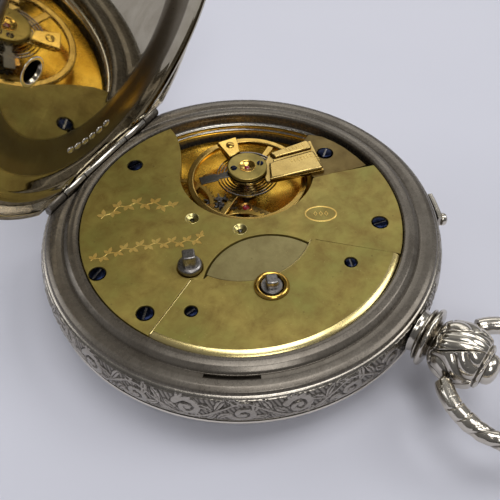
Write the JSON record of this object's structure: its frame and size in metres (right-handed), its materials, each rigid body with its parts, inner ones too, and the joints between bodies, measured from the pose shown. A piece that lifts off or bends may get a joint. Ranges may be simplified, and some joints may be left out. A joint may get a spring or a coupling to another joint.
{
  "type": "hunter pocket watch",
  "caption": "Key-wound full-hunter pocket watch with sprung front lid, hinged back cover and inner cuvette, pendant with bow, and a lever movement with sweep seconds.",
  "frame": {"origin": "centre of the flat crown of the closed front lid, on the axis of the case", "axes": "+Z through the case towards the back cover, +Y towards the pendant and bow, X along the joints of the covers within 5 degrees"},
  "size_m": [0.0577, 0.079, 0.0634],
  "materials": {
    "silver": "engraved and polished silver with grey tarnish in the recesses",
    "gilt_plate": "frosted gilt brass, mottled olive brown with age",
    "polished_brass": "polished gold-coloured brass",
    "blued_steel": "heat-blued polished steel",
    "grey_steel": "hardened polished steel",
    "dial_enamel": "white vitreous enamel, glossy",
    "crystal_glass": "clear domed watch glass"
  },
  "bodies": {
    "movement_and_case": {"case_middle": "silver", "pendant": "silver", "bezel": "silver", "pillar_plate": "gilt_plate", "three_quarter_plate": "gilt_plate", "barrel_bridge": "gilt_plate", "barrel_cover": "gilt_plate", "pillar_a": "gilt_plate", "pillar_b": "gilt_plate", "pillar_c": "gilt_plate", "pallet_cock": "gilt_plate", "balance_cock": "gilt_plate", "balance_end_cap": "gilt_plate", "winding_bush": "polished_brass", "hairspring_stud": "polished_brass", "plate_screw_a": "blued_steel", "plate_screw_b": "blued_steel", "plate_screw_c": "blued_steel", "case_screw": "blued_steel", "bridge_screw_a": "blued_steel", "bridge_screw_b": "blued_steel", "cock_screw": "blued_steel", "hairspring": "blued_steel", "back_hinge_pin": "grey_steel", "front_hinge_pin": "grey_steel", "lock_spring": "grey_steel", "dial": "dial_enamel", "crystal": "crystal_glass"},
    "back_cover": {"back_cover": "silver"},
    "cuvette": {"cuvette": "silver"},
    "front_lid": {"front_lid": "silver"},
    "bow": {"bow": "silver"},
    "push_button": {"push_button": "silver"},
    "stop_slide": {"stop_slide": "silver"},
    "regulator": {"regulator": "grey_steel"},
    "click": {"click": "grey_steel"},
    "setting_arbor": {"setting_arbor": "grey_steel"},
    "winding_arbor": {"winding_arbor": "grey_steel", "ratchet_wheel": "grey_steel"},
    "sweep_seconds": {"seconds_pinion": "grey_steel", "seconds_hand": "blued_steel"},
    "third_wheel": {"third_wheel": "polished_brass", "third_pinion": "grey_steel"},
    "centre_wheel": {"centre_wheel": "polished_brass", "centre_pinion": "grey_steel"},
    "barrel": {"barrel": "polished_brass", "barrel_lid": "polished_brass", "mainspring": "grey_steel"},
    "fourth_wheel": {"fourth_wheel": "polished_brass", "fourth_pinion": "grey_steel"},
    "escape_wheel": {"escape_wheel": "polished_brass", "escape_pinion": "grey_steel"},
    "pallet_lever": {"pallet_lever": "grey_steel"},
    "balance": {"balance_wheel": "polished_brass", "balance_staff": "grey_steel"},
    "minute_wheel": {"minute_wheel": "polished_brass"},
    "minute_hand": {"cannon_pinion": "grey_steel", "minute_hand": "blued_steel"},
    "hour_hand": {"hour_wheel": "polished_brass", "hour_hand": "blued_steel"}
  },
  "joints": [
    {"name": "back_cover_hinge", "type": "hinge", "parent": "movement_and_case", "child": "back_cover", "pos_m": [0.00211, -0.02415, 0.0113], "axis": [0.9962, 0.0872, 0], "range_deg": [-86, 8]},
    {"name": "cuvette_hinge", "type": "hinge", "parent": "movement_and_case", "child": "cuvette", "pos_m": [0.00211, -0.02415, 0.0113], "axis": [0.9962, 0.0872, 0], "range_deg": [-77.1, 7.3]},
    {"name": "front_lid_hinge", "type": "hinge", "parent": "movement_and_case", "child": "front_lid", "pos_m": [0.00233, -0.02665, 0.00495], "axis": [-0.9962, -0.0872, 0], "range_deg": [0, 100]},
    {"name": "bow_swivel", "type": "hinge", "parent": "movement_and_case", "child": "bow", "pos_m": [0, 0.0338, 0.008], "axis": [1, 0, 0], "range_deg": [-80, 80]},
    {"name": "push_button_slide", "type": "slide", "parent": "movement_and_case", "child": "push_button", "axis": [0, -1, 0], "range_m": [0, 0.0006], "stiffness_N_per_m": 400},
    {"name": "stop_slide_turn", "type": "hinge", "parent": "movement_and_case", "child": "stop_slide", "pos_m": [0, 0, 0.0083], "axis": [0, 0, 1], "range_deg": [-3.5, 6]},
    {"name": "regulator_turn", "type": "hinge", "parent": "movement_and_case", "child": "regulator", "pos_m": [-0.00822, -0.00505, 0.01123], "axis": [0, 0, 1], "range_deg": [-25, 25]},
    {"name": "click_pivot", "type": "hinge", "parent": "movement_and_case", "child": "click", "pos_m": [0.00611, 0.01553, 0.00907], "axis": [0, 0, 1], "range_deg": [-10, 0]},
    {"name": "winding_turn", "type": "hinge", "parent": "movement_and_case", "child": "winding_arbor", "pos_m": [0.0071, 0.0103, 0.009], "axis": [0, 0, 1], "continuous": true},
    {"name": "sweep_seconds_turn", "type": "hinge", "parent": "movement_and_case", "child": "sweep_seconds", "pos_m": [0, 0, 0.005], "axis": [0, 0, 1], "continuous": true},
    {"name": "third_wheel_turn", "type": "hinge", "parent": "movement_and_case", "child": "third_wheel", "pos_m": [0.00404, -0.00542, 0.008], "axis": [0, 0, 1], "continuous": true},
    {"name": "centre_wheel_turn", "type": "hinge", "parent": "movement_and_case", "child": "centre_wheel", "pos_m": [0.00172, 0.00116, 0.008], "axis": [0, 0, 1], "continuous": true},
    {"name": "barrel_turn", "type": "hinge", "parent": "movement_and_case", "child": "barrel", "pos_m": [0.0071, 0.0103, 0.007], "axis": [0, 0, 1], "continuous": true},
    {"name": "fourth_wheel_turn", "type": "hinge", "parent": "movement_and_case", "child": "fourth_wheel", "pos_m": [0.0007, -0.01131, 0.0075], "axis": [0, 0, 1], "continuous": true},
    {"name": "escape_wheel_turn", "type": "hinge", "parent": "movement_and_case", "child": "escape_wheel", "pos_m": [-0.00281, -0.00619, 0.0071], "axis": [0, 0, 1], "continuous": true},
    {"name": "minute_wheel_turn", "type": "hinge", "parent": "movement_and_case", "child": "minute_wheel", "pos_m": [0.00325, -0.00297, 0.0046], "axis": [0, 0, 1], "continuous": true},
    {"name": "minute_hand_turn", "type": "hinge", "parent": "movement_and_case", "child": "minute_hand", "pos_m": [0, 0, 0.004], "axis": [0, 0, 1], "continuous": true},
    {"name": "hour_hand_turn", "type": "hinge", "parent": "movement_and_case", "child": "hour_hand", "pos_m": [0, 0, 0.004], "axis": [0, 0, 1], "continuous": true},
    {"name": "setting_turn", "type": "hinge", "parent": "movement_and_case", "child": "setting_arbor", "pos_m": [0.01089, -0.00006, 0.008], "axis": [0, 0, 1], "continuous": true},
    {"name": "pallet_lever_pivot", "type": "hinge", "parent": "movement_and_case", "child": "pallet_lever", "pos_m": [-0.0043, -0.00241, 0.00705], "axis": [0, 0, 1], "range_deg": [-5, 5]},
    {"name": "balance_swing", "type": "hinge", "parent": "movement_and_case", "child": "balance", "pos_m": [-0.00822, -0.00505, 0.0092], "axis": [0, 0, 1], "range_deg": [-220, 220], "stiffness_Nm_per_rad": 0.00002, "deforming": ["hairspring"]}
  ],
  "couplings": [
    {"joint": "cuvette_hinge", "follows": "back_cover_hinge", "ratio": 0.89535},
    {"joint": "third_wheel_turn", "follows": "sweep_seconds_turn", "ratio": -0.13333},
    {"joint": "centre_wheel_turn", "follows": "sweep_seconds_turn", "ratio": 0.016667},
    {"joint": "barrel_turn", "follows": "sweep_seconds_turn", "ratio": -0.0027778},
    {"joint": "fourth_wheel_turn", "follows": "sweep_seconds_turn", "ratio": 1},
    {"joint": "escape_wheel_turn", "follows": "sweep_seconds_turn", "ratio": -8},
    {"joint": "minute_wheel_turn", "follows": "sweep_seconds_turn", "ratio": -0.0055556},
    {"joint": "minute_hand_turn", "follows": "sweep_seconds_turn", "ratio": 0.016667},
    {"joint": "hour_hand_turn", "follows": "sweep_seconds_turn", "ratio": 0.0013889},
    {"joint": "setting_turn", "follows": "sweep_seconds_turn", "ratio": 0.0038095}
  ]
}
